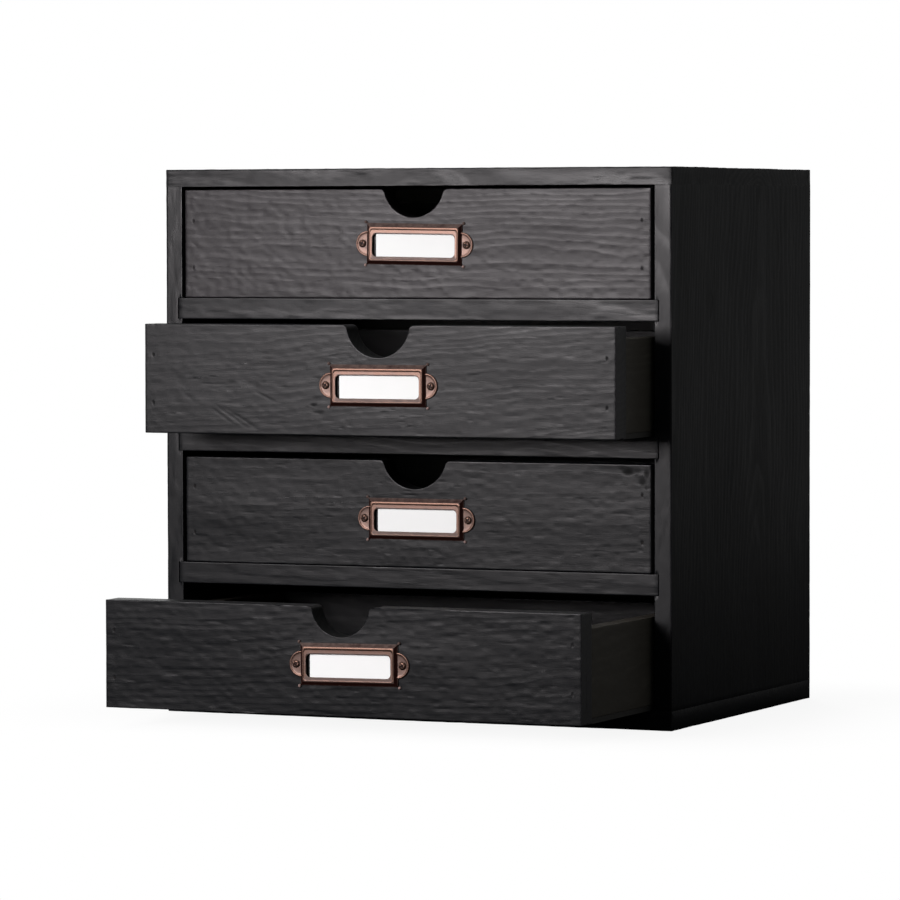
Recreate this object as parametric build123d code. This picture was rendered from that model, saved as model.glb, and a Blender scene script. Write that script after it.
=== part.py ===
from build123d import *
import os

# Desktop drawer organizer: a small wooden cabinet with four loose wooden drawers.
#
# The carcass is six boards and a thin back. The top and bottom boards run over the full width and are
# nailed into the ends of the two sides. Three shelves stand in dados cut across the sides, and the back
# sits in a rabbet. Each drawer is a thick front nailed on the ends of two lower sides, a back between
# them and a thin bottom under them. It slides on its shelf, with no runner and no stop. Its front has a
# round finger notch and a pressed label holder, with a card behind the window and two small screws.
#
# The frame has +X to the right, +Y to the back and +Z up. The origin is the centre of the underside of
# the bottom board. The second and the bottom drawer stand partly open. Sizes are in millimetres.

# Carcass
cabinet_width = 260.0
cabinet_depth = 185.0
cabinet_height = 260.0
side_thickness = 8.6
top_thickness = 8.2
shelf_thickness = 10.0
bottom_thickness = 9.2
dado_depth = 2.3
dado_end_gap = 0.35
back_thickness = 3.0
back_rabbet_width = 4.5
back_fit_gap = 0.3
edge_ease = 0.5

# Drawers, from the top one down
drawer_names = ("top_drawer", "second_drawer", "third_drawer", "bottom_drawer")
drawer_open = (0.0, 42.5, 0.0, 83.5)
drawer_top_gaps = (2.5, 1.8, 2.9, 2.7)
drawer_side_drops = (5.0, 5.4, 5.0, 7.2)
drawer_side_gap = 2.1
drawer_floor_gap = 0.2
drawer_back_gap = 1.5
front_thickness = 12.5
front_edge_ease = 0.8
drawer_side_thickness = 8.0
drawer_back_thickness = 8.0
drawer_bottom_thickness = 2.4

# Finger notch in a drawer front
notch_radii = (15.5, 16.0, 16.5, 14.5)
notch_depths = (12.5, 14.8, 13.2, 13.8)
notch_offsets = (0.0, 1.0, 0.2, 0.7)
notch_lip_radius = 2.5

# Label holder, pressed from sheet
window_length = 42.4
window_height = 10.7
window_corner = 2.2
frame_border_end = 1.4
frame_border_top = 3.2
frame_border_bottom = 1.9
bead_width = 1.1
bead_raise = 0.3
bead_round = 0.25
holder_wall_run = 1.8
holder_raise = 1.8
holder_sheet = 0.7
foot_thickness = 0.5
foot_point_length = 1.1
foot_point_height = 0.9
ear_reach = 5.6
ear_radius = 5.95
ear_rim_width = 0.9
ear_rim_raise = 0.5
holder_heights = (25.3, 23.4, 22.7, 24.5)
holder_offsets = (0.6, 1.3, 1.2, 5.4)

# Card behind the window
card_thickness = 0.4
card_edge_gap = 1.1
card_slit = 1.5

# Holder screws
screw_from_wall = 2.3
screw_head_radius = 1.9
screw_head_height = 1.1
screw_head_ease = 0.6
screw_shank_radius = 0.95
screw_shank_sides = 12
screw_shank_length = 9.0

# Headless brads of square wire that hold the boards
brad_width = 1.2
brad_length = 25.0
brad_sink = 0.3
small_brad_width = 0.9
small_brad_length = 9.0
cross_brads_per_side = 3
front_brad_shares = (0.28, 0.72)
back_brad_shares = (0.3, 0.7)
floor_brads_per_side = 2

# Worked out from the sizes above
cut_past = 1.0
same_place = 0.001
front_y = -cabinet_depth / 2
rear_y = cabinet_depth / 2
back_panel_y = rear_y - back_thickness
inner_width = cabinet_width - 2 * side_thickness
sides_top = cabinet_height - top_thickness
drawer_count = len(drawer_names)
bay_height = (sides_top - bottom_thickness - (drawer_count - 1) * shelf_thickness) / drawer_count
bay_pitch = bay_height + shelf_thickness
bay_floors = [sides_top - bay_height - i * bay_pitch for i in range(drawer_count)]
drawer_width = inner_width - 2 * drawer_side_gap
drawer_depth = cabinet_depth - back_thickness - drawer_back_gap
hands = {"left": -1, "right": 1}


def block(low, high):
    """A block from its lowest to its highest corner."""
    size = [b - a for a, b in zip(low, high)]
    centre = [(a + b) / 2 for a, b in zip(low, high)]
    return Pos(*centre) * Box(*size)


def board(low, high, along=None):
    """A sawn board. Its four edges that run along an axis, or all twelve, are eased by sanding."""
    plain = block(low, high)
    edges = plain.edges() if along is None else plain.edges().filter_by(along)
    return chamfer(edges, edge_ease)


def brad(start, direction, length=brad_length, width=brad_width):
    """A headless brad driven from start along direction."""
    return extrude(Plane(origin=start, z_dir=direction) * Rectangle(width, width), amount=length)


def with_hollows(brads, direction):
    """Sunk brads together with the short hollows over their ends, to be cut out of a board."""
    back_off = Pos(*[-brad_sink * c for c in direction])
    return [solid for b in brads for solid in (b, back_off * b)]


def spread(low, high, count):
    """Evenly spaced places between low and high, half a step in from each end."""
    step = (high - low) / count
    return [low + step * (i + 0.5) for i in range(count)]


def save(name, *solids):
    """Writes one node. Several solids become one group."""
    shape = solids[0] if len(solids) == 1 else Compound(children=list(solids))
    export_step(shape, os.path.join("parts", name + ".step"))


# Brads down through the top board and up through the bottom board, into the ends of the sides
side_centres = [hand * (cabinet_width - side_thickness) / 2 for hand in hands.values()]
brad_ys = spread(front_y, back_panel_y, cross_brads_per_side)
top_brads = [
    brad((x, y, cabinet_height - brad_sink), (0, 0, -1)) for x in side_centres for y in brad_ys
]
bottom_brads = [brad((x, y, brad_sink), (0, 0, 1)) for x in side_centres for y in brad_ys]

# The rabbet for the back, and a small brad beside each bay
rabbet_half_width = inner_width / 2 + back_rabbet_width
rabbet_low = bottom_thickness - back_rabbet_width
rabbet_high = sides_top + back_rabbet_width
rabbet = block(
    (-rabbet_half_width, back_panel_y, rabbet_low),
    (rabbet_half_width, rear_y + cut_past, rabbet_high),
)
back_brad_x = inner_width / 2 + (back_rabbet_width - back_fit_gap) / 2
back_brads = [
    brad(
        (hand * back_brad_x, rear_y, floor + bay_height / 2), (0, -1, 0), small_brad_length, small_brad_width
    )
    for hand in hands.values()
    for floor in bay_floors
]


def side_panel(hand):
    """A side between the top and the bottom board, with a dado for each shelf. hand is -1 or 1."""
    xs = sorted((hand * cabinet_width / 2, hand * inner_width / 2))
    panel = board((xs[0], front_y, bottom_thickness), (xs[1], rear_y, sides_top), Axis.Z)
    dado_xs = sorted((hand * inner_width / 2, hand * (inner_width / 2 + dado_depth)))
    for floor in bay_floors[:-1]:
        panel -= block(
            (dado_xs[0], front_y - cut_past, floor - shelf_thickness),
            (dado_xs[1], back_panel_y, floor),
        )
    return panel - rabbet - top_brads - bottom_brads - back_brads


def shelf(floor):
    """A shelf under one bay. Its ends stand in the dados, a hair short of their bottoms."""
    half = inner_width / 2 + dado_depth - dado_end_gap
    return board((-half, front_y, floor - shelf_thickness), (half, back_panel_y, floor), Axis.X)


def cross_panel(low_z, high_z, brads, direction):
    """The top or the bottom board, over the full width, with its rabbet and the holes of its brads."""
    panel = board(
        (-cabinet_width / 2, front_y, low_z),
        (cabinet_width / 2, rear_y, high_z),
    )
    return panel - rabbet - with_hollows(brads, direction)


def back_panel():
    """The thin back, loose in its rabbet."""
    half = rabbet_half_width - back_fit_gap
    panel = block(
        (-half, back_panel_y, rabbet_low + back_fit_gap),
        (half, rear_y, rabbet_high - back_fit_gap),
    )
    return panel - back_brads


def drawer_front(height, notch_radius, notch_depth, notch_offset):
    """A drawer front with its outer face on z = 0 and its thickness below, x along it and y up it."""
    top = height / 2
    notch = Pos(notch_offset, top - notch_depth + notch_radius) * (
        Circle(notch_radius)
        + Rectangle(2 * notch_radius, notch_depth + cut_past, align=(Align.CENTER, Align.MIN))
    )
    outline = Rectangle(drawer_width, height) - notch
    lips = [
        v
        for v in outline.vertices()
        if v.Y > top - same_place and abs(v.X) < drawer_width / 2 - same_place
    ]
    outline = fillet(lips, notch_lip_radius)
    front = extrude(outline, amount=-front_thickness)
    front = chamfer(front.faces().sort_by(Axis.Z)[-1].edges(), front_edge_ease)
    return chamfer(front.faces().sort_by(Axis.Z)[0].edges(), edge_ease)


# The holder, the card and the screws are drawn lying down, x along the drawer front, y up it and z out
# of it, with the face of the front at z = 0 and the middle of the holder's frame at x = 0 and y = 0.
frame_size = (
    window_length + 2 * frame_border_end,
    window_height + frame_border_top + frame_border_bottom,
)
base_size = [size + 2 * holder_wall_run for size in frame_size]
base_hollow_size = [size - 2 * holder_sheet for size in base_size]
window_drop = (frame_border_top - frame_border_bottom) / 2
screw_place = base_size[0] / 2 + screw_from_wall


def frustum(base, face, height):
    """A block whose four sides lean in from the base rectangle to a smaller face."""
    return loft([Rectangle(*base), Pos(0, 0, height) * Rectangle(*face)])


def face_bead():
    """The rounded bead that stands on the frame's face, all along its outer edge."""
    inside = [size - 2 * bead_width for size in frame_size]
    bead = Pos(0, 0, holder_raise) * extrude(Rectangle(*frame_size) - Rectangle(*inside), amount=bead_raise)
    return fillet(bead.faces().sort_by(Axis.Z)[-1].edges(), min(bead_round, bead_raise - same_place))


def screw_shank():
    """The section of a screw's shank. It has flats in place of a full circle, as nothing shows of it."""
    return RegularPolygon(screw_shank_radius, screw_shank_sides)


def holder_foot():
    """The foot of the frame. Its sides curve in a little, which draws the four corners out to points."""
    half_x, half_y = [size / 2 for size in base_size]
    tip_x = half_x + foot_point_length
    tip_y = half_y + foot_point_height
    sides = [
        ThreePointArc((-tip_x, -tip_y), (0, -half_y), (tip_x, -tip_y)),
        ThreePointArc((tip_x, -tip_y), (half_x, 0), (tip_x, tip_y)),
        ThreePointArc((tip_x, tip_y), (0, half_y), (-tip_x, tip_y)),
        ThreePointArc((-tip_x, tip_y), (-half_x, 0), (-tip_x, -tip_y)),
    ]
    return extrude(make_face(sides), amount=foot_thickness)


def ear(hand):
    """A flat round ear with a raised rim and a hole for the screw. It begins inside the frame's wall."""
    inner_x = frame_size[0] / 2
    outer_x = base_size[0] / 2 + ear_reach
    centre = outer_x - ear_radius
    beside_frame = Pos(hand * (inner_x + outer_x) / 2, 0) * Rectangle(outer_x - inner_x, 2 * ear_radius)
    outline = (Pos(hand * centre, 0) * Circle(ear_radius)) & beside_frame
    inside_rim = Pos(hand * centre, 0) * Circle(ear_radius - ear_rim_width)
    plate = extrude(outline, amount=holder_sheet)
    rim = extrude(outline - inside_rim, amount=holder_sheet + ear_rim_raise)
    hole = extrude(Pos(hand * screw_place, 0) * screw_shank(), amount=holder_sheet)
    return plate + rim - hole


def label_holder():
    """A raised frame with a beaded face, a window, leaning walls and a pointed foot, between two ears."""
    frame_hollow_size = [size - 2 * holder_sheet for size in frame_size]
    frame = frustum(base_size, frame_size, holder_raise)
    hollow = frustum(base_hollow_size, frame_hollow_size, holder_raise - holder_sheet)
    window = extrude(
        Pos(0, -window_drop) * RectangleRounded(window_length, window_height, window_corner),
        amount=holder_raise,
    )
    return frame + face_bead() + holder_foot() + ear(-1) + ear(1) - hollow - window


def label_card():
    """The blank card in the hollow of the frame. It leaves a slit open at the left of the window."""
    left = -window_length / 2 + card_slit
    right = base_hollow_size[0] / 2 - card_edge_gap
    height = base_hollow_size[1] - 2 * card_edge_gap
    return extrude(Pos((left + right) / 2, 0) * Rectangle(right - left, height), amount=card_thickness)


def holder_screw():
    """A small screw with its seat at z = 0, its head above and its shank below."""
    head = extrude(Circle(screw_head_radius), amount=screw_head_height)
    head = chamfer(head.edges().group_by(Axis.Z)[-1], screw_head_ease)
    return head + extrude(screw_shank(), amount=-screw_shank_length)


def save_drawer(index):
    """Makes and saves the pieces of one drawer, counted from the top one down."""
    name = drawer_names[index]
    low = bay_floors[index] + drawer_floor_gap
    top = bay_floors[index] + bay_height - drawer_top_gaps[index]
    front = front_y - drawer_open[index]
    front_rear = front + front_thickness
    rear = front + drawer_depth
    back_front = rear - drawer_back_thickness
    side_low = low + drawer_bottom_thickness
    side_top = top - drawer_side_drops[index]
    half = drawer_width / 2
    inner_half = half - drawer_side_thickness
    side_centre = half - drawer_side_thickness / 2

    # Brads through the front into the sides, through the sides into the back, and up through the bottom
    front_brads = [
        brad((hand * side_centre, front + brad_sink, top - share * (top - low)), (0, 1, 0))
        for hand in hands.values()
        for share in front_brad_shares
    ]
    side_brads = [
        brad((hand * half, (back_front + rear) / 2, side_low + share * (side_top - side_low)), (-hand, 0, 0))
        for hand in hands.values()
        for share in back_brad_shares
    ]
    floor_brads = [
        brad((hand * side_centre, y, low), (0, 0, 1), small_brad_length, small_brad_width)
        for hand in hands.values()
        for y in spread(front_rear, back_front, floor_brads_per_side)
    ]
    save(name + "_brads", *front_brads, *side_brads, *floor_brads)

    holder_centre = (holder_offsets[index], front, low + holder_heights[index])
    on_front = Plane(origin=holder_centre, x_dir=(1, 0, 0), z_dir=(0, -1, 0)).location
    screws = [
        on_front * Pos(hand * screw_place, 0, holder_sheet) * holder_screw() for hand in hands.values()
    ]
    save(name + "_label_holder", on_front * label_holder())
    save(name + "_label_card", on_front * label_card())
    save(name + "_holder_screws", *screws)

    front_centre = Plane(origin=(0, front, (low + top) / 2), x_dir=(1, 0, 0), z_dir=(0, -1, 0)).location
    notch = (notch_radii[index], notch_depths[index], notch_offsets[index])
    front_board = front_centre * drawer_front(top - low, *notch)
    save(name + "_front", front_board - with_hollows(front_brads, (0, 1, 0)) - screws)
    for side_name, hand in hands.items():
        xs = sorted((hand * half, hand * inner_half))
        side = board((xs[0], front_rear, side_low), (xs[1], rear, side_top), Axis.Y)
        save(f"{name}_{side_name}_side", side - front_brads - side_brads - floor_brads)
    back = board((-inner_half, back_front, side_low), (inner_half, rear, side_top), Axis.X)
    save(name + "_back", back - side_brads)
    bottom = block((-half, front_rear, low), (half, rear, side_low))
    save(name + "_bottom", bottom - floor_brads)


os.makedirs("parts", exist_ok=True)
for side_name, hand in hands.items():
    save(side_name + "_side_panel", side_panel(hand))
save("top_panel", cross_panel(sides_top, cabinet_height, top_brads, (0, 0, -1)))
save("bottom_panel", cross_panel(0, bottom_thickness, bottom_brads, (0, 0, 1)))
for shelf_name, floor in zip(("upper_shelf", "middle_shelf", "lower_shelf"), bay_floors):
    save(shelf_name, shelf(floor))
save("back_panel", back_panel())
save("carcass_brads", *top_brads, *bottom_brads)
save("back_panel_brads", *back_brads)
for drawer_index in range(drawer_count):
    save_drawer(drawer_index)
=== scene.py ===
import math

import bmesh
import bpy
import numpy as np
from mathutils import Matrix, Vector


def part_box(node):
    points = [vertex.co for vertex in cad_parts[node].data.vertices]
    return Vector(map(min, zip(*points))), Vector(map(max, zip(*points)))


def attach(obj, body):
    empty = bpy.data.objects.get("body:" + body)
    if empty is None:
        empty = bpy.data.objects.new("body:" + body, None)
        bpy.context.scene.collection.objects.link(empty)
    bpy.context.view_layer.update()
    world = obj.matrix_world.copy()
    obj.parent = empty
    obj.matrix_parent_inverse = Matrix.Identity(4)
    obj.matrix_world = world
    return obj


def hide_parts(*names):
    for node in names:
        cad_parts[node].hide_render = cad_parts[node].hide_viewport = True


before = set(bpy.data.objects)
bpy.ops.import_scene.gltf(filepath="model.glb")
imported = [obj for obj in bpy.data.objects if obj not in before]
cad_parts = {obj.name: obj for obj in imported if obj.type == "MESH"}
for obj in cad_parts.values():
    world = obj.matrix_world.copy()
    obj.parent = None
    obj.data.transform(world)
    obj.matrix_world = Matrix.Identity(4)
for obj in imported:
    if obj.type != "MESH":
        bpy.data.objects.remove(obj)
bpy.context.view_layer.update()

# Side panels
# Two upright boards of knotty softwood, brushed along the grain so that the hard rings stand out, then
# stained black and rubbed with satin wax. Three dados in each hold the shelf ends, a rabbet the back.

# Lengths are in millimetres, and from the floor on in metres.
MM = 0.001
board_ease = 0.25
seam_ease = 0.1
dado_end_gap = 0.35
back_fit_gap = 0.3
sliver = 0.01
grain_step = 2.2
cross_step = 0.62
hidden_step = 2.0
merge_reach = 2e-7
sharp_angle = math.radians(50.0)


def box_mm(node):
    """A node's lowest and highest corners at rest, in millimetres."""
    low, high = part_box(node)
    return np.array(low) / MM, np.array(high) / MM


def value_noise(points, cell, seed):
    """Smooth noise from -1 to 1, in as many dimensions as the cell has sides: random numbers on a
    lattice of cells, blended between the corners of the cell that a point lies in, by the curve
    3t^2 - 2t^3 along each axis. The corners pick among 8192 numbers by three large primes."""
    numbers = np.random.default_rng(seed).uniform(-1.0, 1.0, 8192)
    primes = np.array((73856093, 19349663, 83492791))[:len(cell)]
    spots = points / np.asarray(cell, float)
    low = np.floor(spots).astype(np.int64)
    part = spots - low
    blend = part * part * (3.0 - 2.0 * part)
    total = np.zeros(points.shape[:-1])
    for corner in np.ndindex((2,) * len(cell)):
        place = np.bitwise_xor.reduce((low + corner) * primes, axis=-1)
        weight = np.prod(np.where(corner, blend, 1.0 - blend), axis=-1)
        total += weight * numbers[place % len(numbers)]
    return total


def smooth_step(low, high, value):
    """0 below low, 1 above high, and the curve 3t^2 - 2t^3 between them."""
    t = np.clip((value - low) / (high - low), 0.0, 1.0)
    return t * t * (3.0 - 2.0 * t)


def spread(start, end, step):
    """Evenly spaced numbers from start to end, at most a step apart."""
    return np.linspace(start, end, max(int(math.ceil((end - start) / step)), 1) + 1)


def section_rows(corners, easings, steps, wear):
    """The closed outline of each cross-section. A row is a polygon whose corners are rounded off by a
    quarter of an ellipse, with its half axes along the two edges that meet there, or kept sharp where
    the easing is 0, and whose edges are cut into the given numbers of steps. Also returned are how near
    each point is to a rounded corner, 1 at the corner and 0 from one and a half easings away, and each
    column's wear, where a corner has the lower value of its two sides."""
    ahead = np.roll(corners, -1, axis=1) - corners
    length = np.linalg.norm(ahead, axis=2, keepdims=True)
    ahead = ahead / length
    behind = np.roll(ahead, 1, axis=1)
    points = []
    nearness = []
    worn = []
    for k in range(corners.shape[1]):
        into, out = easings[:, k, 0, None], easings[:, k, 1, None]
        if easings[0, k, 0]:
            for angle in np.radians((0.0, 30.0, 60.0, 90.0)):
                points.append(corners[:, k] - behind[:, k] * into * (1.0 - math.sin(angle))
                              + ahead[:, k] * out * (1.0 - math.cos(angle)))
                nearness.append(np.ones(len(corners)))
        else:
            points.append(corners[:, k])
            nearness.append(np.zeros(len(corners)))
        worn += [np.minimum(wear[k - 1], wear[k])] * (len(points) - len(worn))
        after = (k + 1) % corners.shape[1]
        room = length[:, k] - out - easings[:, after, 0, None]
        for share in np.arange(1, steps[k]) / steps[k]:
            points.append(corners[:, k] + ahead[:, k] * (out + room * share))
            gone = np.minimum(share * room / np.maximum(out, 0.1),
                              (1.0 - share) * room / np.maximum(easings[:, after, 0, None], 0.1))
            nearness.append(1.0 - smooth_step(0.0, 1.5, gone[:, 0]))
            worn.append(wear[k])
    return np.stack(points, axis=1), np.stack(nearness, axis=1), np.stack(worn)


def board_grid(along, corners, easings, steps, wear, end_ease, end_rings):
    """A closed board as a grid of points (along, across, through) whose rows are cross-sections from end
    to end. At an end the section draws in over a quarter circle and then shrinks in rings, by the same
    share of its height and its width, till the last nearly reaches the middle of the end."""
    outline, nearness, worn = section_rows(corners, easings, steps, wear)
    turn = np.radians((90.0, 60.0, 30.0))
    low, high = outline.min(1), outline.max(1)
    ring = np.linspace(0.94 * (high - low)[[0, -1]].min() / 2, end_ease, end_rings, endpoint=False)
    inset = np.concatenate((ring, end_ease * (1.0 - np.cos(turn))))
    set_back = np.concatenate((np.zeros(end_rings), end_ease * (1.0 - np.sin(turn))))
    extra = len(inset)
    pick = np.concatenate((np.zeros(extra, int), np.arange(len(along)), np.full(extra, len(along) - 1)))
    where = np.concatenate((along[0] - end_ease + set_back, along, along[-1] + end_ease - set_back[::-1]))
    draw = np.concatenate((inset, np.zeros(len(along)), inset[::-1]))
    middle = ((low + high) / 2)[pick, None]
    half = ((high - low) / 2)[pick, None]
    rows = middle + (outline[pick] - middle) * (1.0 - draw[:, None, None] / half)
    points = np.concatenate((np.broadcast_to(where[:, None, None], rows.shape[:2] + (1,)), rows), axis=2)
    from_end = np.minimum(where - where[0], where[-1] - where)
    ends = 1.0 - smooth_step(0.0, 1.5, from_end / end_ease)
    ends[:end_rings] = 0.0
    ends[len(ends) - end_rings:] = 0.0
    return points, np.maximum(nearness[pick], ends[:, None]), worn


def outward(points):
    """Unit normals of each cross-section, square to the line between a point's two neighbours in its
    row, and turned to face away from the middle of the row."""
    across = np.roll(points, -1, axis=1) - np.roll(points, 1, axis=1)
    normal = np.stack((np.zeros(points.shape[:2]), across[..., 2], -across[..., 1]), axis=-1)
    normal /= np.maximum(np.linalg.norm(normal, axis=2, keepdims=True), 1e-9)
    away = points - points.mean(axis=1, keepdims=True)
    return normal * np.sign((normal * away).sum())


def brushed(points, wood):
    """How deep brushing has gone into a board at each point, with the ring number there. The rings are
    cylinders of uneven thickness round the heart of the tree, which runs roughly along the grain beside
    the board, and they bend with slow noise. The soft early part of each ring is brushed away and its
    hard late part stays as a ridge, stronger in some rings and places than in others. Fibres add
    stretched noise, and short dashes are torn out. Knots (x, u, v, radius) swell the rings around them.
    Dents are oval hollows (x, u, v, half width, half height, depth, darkness), and scratches are lines on
    a front (x, v, end x, end v, half width, depth)."""
    seed = wood["seed"]
    along = points[..., 0]

    def square_gap(x, u, v, wide, high):
        """The squared distance from a place, in half widths along the grain and half heights across."""
        return ((along - x) / wide) ** 2 + ((points[..., 1] - u) ** 2 + (points[..., 2] - v) ** 2) / high ** 2

    bend = np.stack([value_noise(points, (60.0, 26.0, 26.0), seed + k) for k in (1, 2)])
    small_bend = value_noise(points, (15.0, 6.0, 6.0), seed + 3)
    heart = [wood["heart"][k] + wood["drift"][k] * along for k in (0, 1)]
    far = np.hypot(points[..., 1] - heart[0] + wood["bend"] * bend[0],
                   points[..., 2] - heart[1] + wood["bend"] * bend[1])
    age = far / wood["ring"] + 0.28 * small_bend + 0.8 * value_noise(far[..., None], (9.0,), seed + 8)
    knot_dark = np.zeros(along.shape)
    depth = np.zeros(along.shape)
    for x, u, v, size in wood.get("knots", ()):
        gap = square_gap(x, u, v, 1.9 * size, size)
        age = age + 2.6 * np.exp(-gap / 1.6)
        core = np.exp(-gap * 3.0)
        knot_dark = np.maximum(knot_dark, core)
        depth += 0.2 * core * (0.7 + 0.3 * value_noise(points, (1.5, 1.2, 1.2), seed + 12))
    part = age - np.floor(age)
    ridge = smooth_step(0.3, 0.8, part) * (1.0 - smooth_step(0.86, 1.0, part))
    strength = 0.5 + 0.5 * value_noise(np.stack((age, along), axis=-1), (0.9, 22.0), seed + 4)
    fibres = ((0.024, (30.0, 3.0, 3.0), 5), (0.026, (8.0, 2.5, 2.5), 6), (0.04, (2.8, 2.2, 2.2), 7))
    streaks = sum(share * value_noise(points, cell, seed + k) for share, cell, k in fibres)
    torn = smooth_step(0.5, 0.8, value_noise(points, (4.4, 1.1, 1.1), seed + 9))
    swell = value_noise(points, (48.0, 17.0, 17.0), seed + 10)
    chatter = value_noise(along[..., None], (2.8,), seed + 11)
    depth += wood["relief"] * (1.0 - ridge * strength) + 0.07 + wood.get("grain", 1.0) * streaks + 0.05 * torn
    depth += wood.get("swell", 0.09) * (1.0 + swell) + wood.get("chatter", 0.004) * (1.0 + chatter)
    for x, u, v, wide, high, deep, shade in wood.get("dents", ()):
        hollow = np.exp(-square_gap(x, u, v, wide, high) ** 2)
        depth += deep * hollow
        knot_dark = np.maximum(knot_dark, shade * hollow)
    for x, v, end_x, end_v, wide, deep in wood.get("scratches", ()):
        way = np.array((end_x - x, end_v - v))
        share = np.clip(((along - x) * way[0] + (points[..., 2] - v) * way[1]) / (way ** 2).sum(), 0.0, 1.0)
        off = np.hypot(along - x - share * way[0], points[..., 2] - v - share * way[1]) / wide
        face = smooth_step(-4.0, -6.0, points[..., 1])
        depth += deep * face * np.exp(-off ** 2) * np.sin(math.pi * (0.1 + 0.8 * share))
    return depth, age, knot_dark


def joined_rows(index):
    """The faces between neighbouring rows of a grid of points, where each row closes on itself."""
    after = np.roll(index, -1, axis=1)
    return np.stack((index[:-1], after[:-1], after[1:], index[1:]), axis=-1).reshape(-1, 4)


def grid_mesh(name, points, attributes, band=False):
    """A mesh from a grid of points in metres, whose rows close on themselves. In a band the first and the
    last row are joined and all edges are smooth. Otherwise those rows are each filled by a face, and
    edges past the sharp angle stay sharp. The attributes hold a number or a vector for each point.
    Points that coincide are merged, and faces turned outwards."""
    rows, count = points.shape[:2]
    index = np.arange(rows * count).reshape(rows, count)
    if band:
        faces = joined_rows(np.concatenate((index, index[:1]))).tolist()
    else:
        faces = joined_rows(index).tolist() + [index[0, ::-1].tolist(), index[-1].tolist()]
    mesh = bpy.data.meshes.new(name)
    mesh.from_pydata(points.reshape(-1, 3).tolist(), [], faces)
    for key, values in attributes.items():
        kind, part = ("FLOAT_VECTOR", "vector") if values.ndim == 3 else ("FLOAT", "value")
        field = mesh.attributes.new(key, kind, "POINT")
        field.data.foreach_set(part, values.ravel().astype(np.float32))
    shell = bmesh.new()
    shell.from_mesh(mesh)
    bmesh.ops.remove_doubles(shell, verts=shell.verts, dist=merge_reach)
    bmesh.ops.recalc_face_normals(shell, faces=shell.faces)
    shell.to_mesh(mesh)
    shell.free()
    mesh.shade_smooth()
    if not band:
        mesh.set_sharp_from_angle(angle=sharp_angle)
    return mesh


def new_object(name, data):
    """An object of the scene that holds a mesh, a lamp or a camera."""
    added = bpy.data.objects.new(name, data)
    bpy.context.scene.collection.objects.link(added)
    return added


def show(name, mesh, body, material, slot, *nodes):
    """Puts a mesh into the scene on a body, in place of the frame's nodes, with its material. The slot is not
    used.
    """
    piece = new_object(name, mesh)
    mesh.materials.append(material)
    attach(piece, body)
    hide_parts(*nodes)


class Wire:
    """One output socket of a material's nodes. + - * / between wires and numbers write Math nodes, or
    Vector Math nodes where a wire carries a vector, and node() adds any other node."""

    def __init__(self, tree, socket=None):
        self.tree = tree
        self.socket = socket

    def node(self, kind, settings=None, values=None, output=0):
        """Adds a node of a type: its settings are set first, then its sockets get values or links. A
        single number fills all three parts of a vector, and colours are given without their alpha."""
        added = self.tree.nodes.new("ShaderNode" + kind)
        for key, setting in (settings or {}).items():
            setattr(added, key, setting)
        for key, value in (values or {}).items():
            if isinstance(value, Wire):
                self.tree.links.new(value.socket, added.inputs[key])
            elif added.inputs[key].type == "VECTOR" and np.isscalar(value):
                added.inputs[key].default_value = (value, value, value)
            elif added.inputs[key].type == "RGBA":
                added.inputs[key].default_value = (*value, 1.0)
            else:
                added.inputs[key].default_value = value
        return Wire(self.tree, added.outputs[output])

    def maths(self, operation, first, second):
        """A Math node on two wires or numbers, or a Vector Math node if either is a vector."""
        vector = any(isinstance(value, Wire) and value.socket.type == "VECTOR" for value in (first, second))
        return self.node("VectorMath" if vector else "Math", {"operation": operation}, {0: first, 1: second})

    def __add__(self, other):
        return self.maths("ADD", self, other)

    def __sub__(self, other):
        return self.maths("SUBTRACT", self, other)

    def __rsub__(self, other):
        return self.maths("SUBTRACT", other, self)

    def __mul__(self, other):
        return self.maths("MULTIPLY", self, other)

    def __truediv__(self, other):
        return self.maths("DIVIDE", self, other)

    def __rtruediv__(self, other):
        return self.maths("DIVIDE", other, self)

    __radd__ = __add__
    __rmul__ = __mul__

    def step(self, low, high):
        """0 below low, 1 above high, smooth between."""
        return self.node("MapRange", {"interpolation_type": "SMOOTHSTEP"},
                         {"Value": self, "From Min": low, "From Max": high})

    def noise(self, scale, detail, rough):
        """Noise from 0 to 1 over this vector, stretched by a scale for each axis."""
        return self.node("TexNoise", None, {"Vector": self * scale, "Scale": 1.0, "Detail": detail,
                                            "Roughness": rough})

    def blend(self, first, second):
        """The first colour where this wire is 0, the second where it is 1."""
        return self.node("Mix", {"data_type": "RGBA"}, {0: self, 6: first, 7: second}, output=2)


def new_material(name, **constants):
    """A material and its Principled shader, with constant values set on the shader's own sockets, and a
    wire to start its nodes from."""
    material = bpy.data.materials.new(name)
    material.use_nodes = True
    shader = material.node_tree.nodes["Principled BSDF"]
    for key, value in constants.items():
        shader.inputs[key.replace("_", " ")].default_value = value
    return material, shader, Wire(material.node_tree)


def feed(shader, wires):
    """Links wires to a shader's sockets by name."""
    for key, wire in wires.items():
        wire.tree.links.new(wire.socket, shader.inputs[key])


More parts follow.
